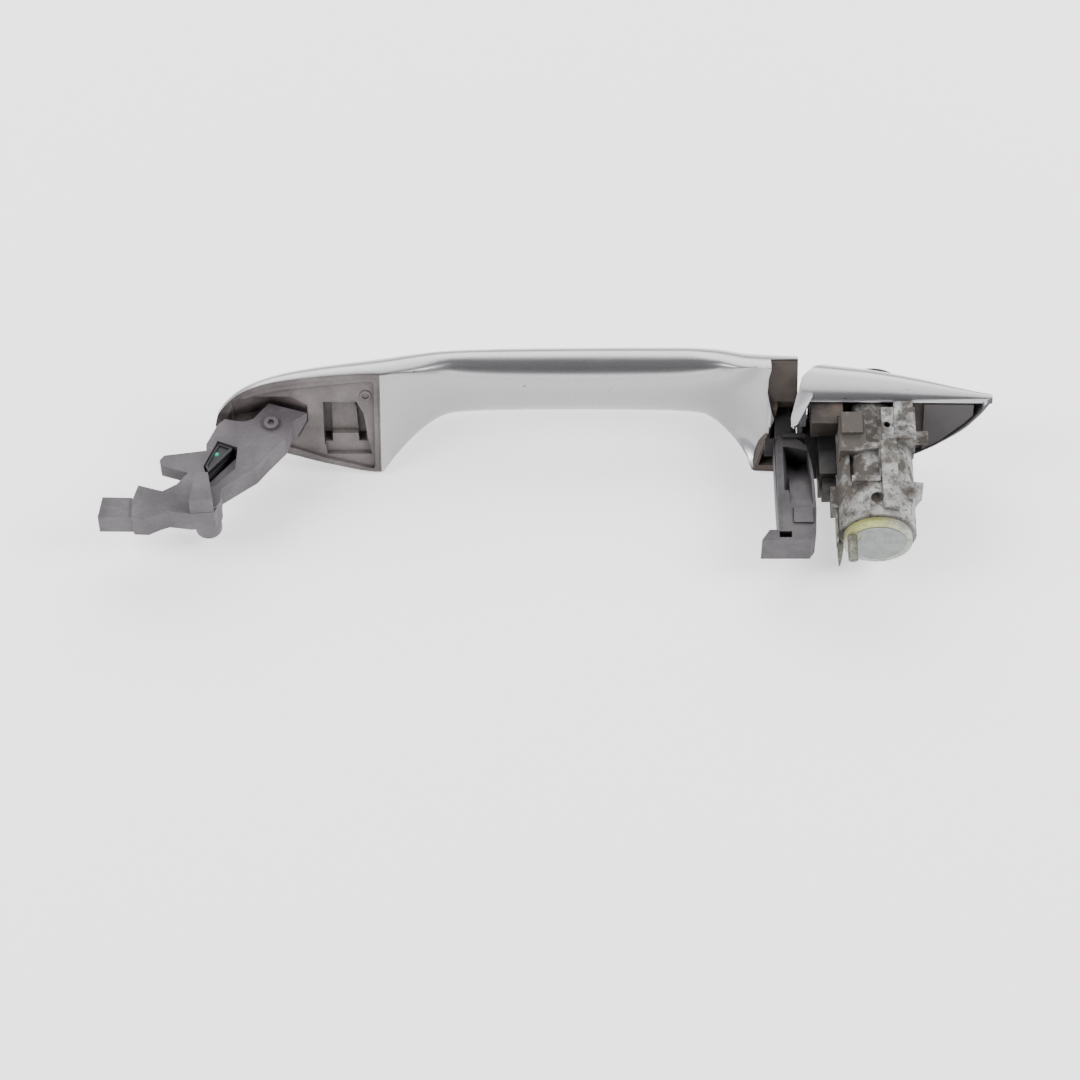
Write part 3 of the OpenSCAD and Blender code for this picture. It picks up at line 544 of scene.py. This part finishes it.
RING = 112
FRONT_HOLLOW = [(3.2, 1.4), (4.6, 5.4), (7.5, 8.5), (12.5, 10.8), (21, 13.1), (35, 14.7), (50, 15.6),
                (53, 15.3), (53.6, 14.5), (53.6, -15.2), (53, -15.9), (38, -13), (25, -9.4), (14, -6.5),
                (9, -4.7), (5, -2), (3.4, -0.4)]
FRONT_ROOF = [(2, 5), (2, 32.4), (7, 35), (12, 37), (20, 39.4), (30, 41.4), (44, 43), (55, 44), (55, 5)]
REAR_HOLLOW = [(172.9, -15.8), (179.1, 2), (176.9, 8.5), (177.2, 13), (178.6, 20), (188, 20), (188, -15.8)]
REAR_ROOF = [(171, 5), (171, 45.5), (188, 45.5), (188, 5)]
ARM_SLOT = [(-3, 10), (-3, 30.9), (13.5, 30.9), (18.3, 36.7), (31.2, 32.8), (26.6, 29.2), (24.3, 22.9),
            (24.3, 10)]
ARM_HALF = 4.65         # half the height of the slot for the arm

bow_x = ([FRONT_X + 14 * (1 - math.cos(math.pi / 2 * i / 24)) for i in range(24)]
         + spaced(15.5, 53, 30)[:-1] + spaced(53, 82, 58)[:-1] + spaced(82, 148, 22)[:-1]
         + spaced(148, 180, 64)[:-1] + spaced(180, REAR_X, 8))
bow = mesh_object("painted_bow", lambda bm: loft(bm, [bow_ring(x, RING) for x in bow_x]))
carve(bow, hollow(FRONT_HOLLOW, FRONT_ROOF))
carve(bow, hollow(REAR_HOLLOW, REAR_ROOF))
carve(bow, mesh_object("arm_way", lambda bm: prism(bm, ARM_SLOT, -ARM_HALF, ARM_HALF, "Z")))


def on_front_core(centre, normal):
    """Faces of the front foot's rim that look inward."""
    at_rim = centre.y < min(45, RIM_Y + RIM_SLOPE * centre.z + 1.2)
    return centre.x < 54 and at_rim and normal.y < -0.5


def under_rear_roof(centre, normal):
    return centre.x > 172 and centre.y > 45 and normal.y < -0.9


smooth_shade(bow.data, 40)
dress(bow, PAINT)
tint_faces(bow, BROWN, on_front_core)
tint_faces(bow, DARK, under_rear_roof)
soften(bow, 0.22 * MM, 2, 50)
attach(bow, "handle")
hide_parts("handle_bow")

cap_x = (spaced(187, 235, 48)[:-1]
         + [235 + (CAP_TIP - 235) * math.sin(math.pi / 2 * i / 24) for i in range(25)])
cap = mesh_object("painted_tail_cap", lambda bm: loft(bm, [cap_ring(x, 0, 0, RING) for x in cap_x]))
carve(cap, mesh_object("end", lambda bm: prism(bm, CAP_END, -30, 30, "Z")))
cap_room = mesh_object("room", lambda bm: loft(bm, [cap_ring(x, CAP_WALL, CAP_WALL + 0.2, RING)
                                                     for x in spaced(188, 244.4, 56)]))
inner_end = [(x + CAP_WALL, y) for x, y in CAP_END]
carve(cap_room, mesh_object("inner_end", lambda bm: prism(bm, inner_end, -32, 32, "Z")))
carve(cap, cap_room)
leg_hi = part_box("pull_leg")[1].z / MM
leg_gap = [(180, -11), (193.4, -11), (193.4, leg_hi + 0.9), (180, leg_hi + 0.9)]
carve(cap, mesh_object("leg_gap", lambda bm: prism(bm, leg_gap, -5, 43, "Y")))
keyhole = [(LOCK_X + KEYHOLE_R * math.cos(2 * math.pi * i / 96),
            LOCK_Z + KEYHOLE_R * math.sin(2 * math.pi * i / 96)) for i in range(96)]
carve(cap, mesh_object("keyhole", lambda bm: prism(bm, keyhole, 30, 62, "Y")))
carve(cap, mesh_object("lobe", lambda bm: prism(bm, CAP_LOBE, CAP_TOP - CAP_WALL, CAP_TOP - 0.1, "Z")),
      "UNION")
smooth_shade(cap.data, 40)
dress(cap, PAINT)


def inside_cap(centre, normal):
    """Faces that look into the cap, and the lower rim."""
    middle_z = (CAP_TOP - curve(CAP_BOTTOM, centre.x)) / 2
    inward = normal.dot(centre - Vector((centre.x, 30, middle_z))) < -0.3
    return inward or (normal.y < -0.8 and centre.z < 13.2)


tint_faces(cap, SHELL, inside_cap)
soften(cap, 0.25 * MM, 2, 50)
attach(cap, "lock_unit")
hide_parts("cap_cover")


# ---------------------------------------------------------------- small marks

def dome(bm, centre, radius, height, sides=28):
    """A low drop of paint standing on a face that looks along +Z."""
    rings = []
    for share, level in ((1.0, 0.0), (0.92, 0.45), (0.7, 0.8), (0.35, 1.0)):
        rings.append([Vector((centre[0] + radius * share * (1 + 0.06 * math.sin(3 * a)) * math.cos(a),
                              centre[1] + radius * share * math.sin(a), centre[2] + height * level)) * MM
                      for a in (2 * math.pi * k / sides for k in range(sides))])
    loft(bm, rings)


dot = mesh_object("green_dot", lambda bm: dome(bm, (2.5, 17.6, 3.35), 0.8, 0.25))
smooth_shade(dot.data)
dress(dot, GREEN)
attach(dot, "handle")


# ---------------------------------------------------------------- floor, light and camera

def floor_material():
    material, tree, shader = new_material("white_floor")
    tone = object_noise(tree, 3.0, 2.0)
    white = ramp(tree, tone, [(0.3, (0.93, 0.93, 0.935)), (0.7, (0.95, 0.95, 0.95))])
    tree.links.new(white, shader.inputs["Base Color"])
    shader.inputs["Roughness"].default_value = 0.6
    shader.inputs["Emission Color"].default_value = (1.0, 1.0, 1.0, 1.0)
    shader.inputs["Emission Strength"].default_value = 0.85
    return material


low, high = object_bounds()
floor_z = low[2] / MM - 0.2
floor_outline = [(-2900, -3000), (3100, -3000), (3100, 3000), (-2900, 3000)]
floor = mesh_object("floor", lambda bm: prism(bm, floor_outline, floor_z - 5, floor_z, "Z"))
dress(floor, floor_material())

world = bpy.data.worlds.new("studio")
bpy.context.scene.world = world
world.use_nodes = True
sky = world.node_tree
direction = add_node(sky, "ShaderNodeTexCoord")
towards = add_node(sky, "ShaderNodeVectorMath", operation="DOT_PRODUCT")
towards.inputs[1].default_value = (0.0, -0.36, 0.933)
sky.links.new(direction.outputs["Generated"], towards.inputs[0])
shade = ramp(sky, spread(sky, towards.outputs["Value"], 0.50, 0.70),
             [(0.0, (0.78, 0.78, 0.79)), (1.0, (0.035, 0.035, 0.038))])
sky.links.new(shade, sky.nodes["Background"].inputs["Color"])
sky.nodes["Background"].inputs["Strength"].default_value = 1.0


def softbox(name, location, target, size, power):
    data = bpy.data.lights.new(name, "AREA")
    data.shape = "RECTANGLE"
    data.size, data.size_y = size
    data.energy = power
    light = bpy.data.objects.new(name, data)
    light.location = location
    light.rotation_euler = (Vector(target) - Vector(location)).to_track_quat("-Z", "Y").to_euler()
    bpy.context.scene.collection.objects.link(light)


middle = Vector((0.105, 0.02, 0.0))
softbox("back_softbox", (0.10, 1.05, 0.82), middle, (1.9, 0.8), 22.0)
softbox("left_softbox", (-1.0, -0.10, 0.95), middle, (0.7, 0.7), 20.0)
softbox("right_softbox", (1.2, -0.10, 0.95), middle, (0.7, 0.7), 20.0)
softbox("front_softbox", (0.10, -1.35, 0.30), middle, (1.8, 0.5), 8.0)

CAMERA_ELEVATION = math.radians(57.0)
CAMERA_DISTANCE = 1.3
SEEN_WIDTH = 0.3375
aim = Vector((0.1047, -0.0124, 0.0))
camera_data = bpy.data.cameras.new("camera")
camera_data.sensor_width = 36.0
camera_data.lens = 36.0 * CAMERA_DISTANCE / SEEN_WIDTH
camera_data.clip_end = 20.0
camera = bpy.data.objects.new("camera", camera_data)
camera.location = aim + CAMERA_DISTANCE * Vector((0.0, -math.cos(CAMERA_ELEVATION),
                                                  math.sin(CAMERA_ELEVATION)))
camera.rotation_euler = Euler((math.pi / 2 - CAMERA_ELEVATION, 0.0, 0.0))
bpy.context.scene.collection.objects.link(camera)
bpy.context.scene.camera = camera
